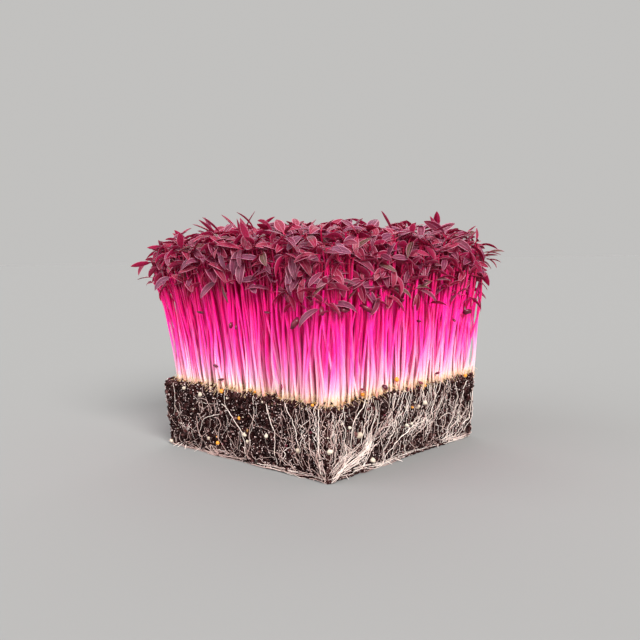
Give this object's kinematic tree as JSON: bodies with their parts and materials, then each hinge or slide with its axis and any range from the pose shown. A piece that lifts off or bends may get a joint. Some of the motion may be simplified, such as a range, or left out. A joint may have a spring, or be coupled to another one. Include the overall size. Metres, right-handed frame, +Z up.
{
  "type": "microgreens block",
  "caption": "Square block of bare root-bound soil, as lifted from a growing tray, under a dense stand of red amaranth seedlings with pink stems and burgundy seed leaves.",
  "frame": {"origin": "centre of the soil block's flat underside", "axes": "+Z up along the stems; -Y is the side at the left of the picture and +X the side at its right, so the corner nearest the camera is at (+X, -Y)"},
  "size_m": [0.1159, 0.1159, 0.1003],
  "materials": {
    "soil": "matte",
    "roots": "matte",
    "seedlings": "satin"
  },
  "bodies": {
    "root": {"root_net_back": "roots", "root_net_front": "roots", "root_net_left": "roots", "root_net_right": "roots", "seedlings_01": "seedlings", "seedlings_02": "seedlings", "seedlings_03": "seedlings", "seedlings_04": "seedlings", "seedlings_05": "seedlings", "seedlings_06": "seedlings", "seedlings_07": "seedlings", "seedlings_08": "seedlings", "seedlings_09": "seedlings", "seedlings_10": "seedlings", "seedlings_11": "seedlings", "seedlings_12": "seedlings", "seedlings_13": "seedlings", "seedlings_14": "seedlings", "seedlings_15": "seedlings", "seedlings_16": "seedlings", "seedlings_17": "seedlings", "seedlings_18": "seedlings", "seedlings_19": "seedlings", "seedlings_20": "seedlings", "seedlings_21": "seedlings", "seedlings_22": "seedlings", "seedlings_23": "seedlings", "seedlings_24": "seedlings", "seedlings_25": "seedlings", "seedlings_26": "seedlings", "seedlings_27": "seedlings", "seedlings_28": "seedlings", "seedlings_29": "seedlings", "seedlings_30": "seedlings", "seedlings_31": "seedlings", "seedlings_32": "seedlings", "seedlings_33": "seedlings", "seedlings_34": "seedlings", "seedlings_35": "seedlings", "seedlings_36": "seedlings", "seedlings_37": "seedlings", "seedlings_38": "seedlings", "seedlings_39": "seedlings", "seedlings_40": "seedlings", "seedlings_41": "seedlings", "seedlings_42": "seedlings", "seedlings_43": "seedlings", "seedlings_44": "seedlings", "seedlings_45": "seedlings", "seedlings_46": "seedlings", "seedlings_47": "seedlings", "seedlings_48": "seedlings", "seedlings_49": "seedlings", "soil_block": "soil"}
  },
  "joints": []
}
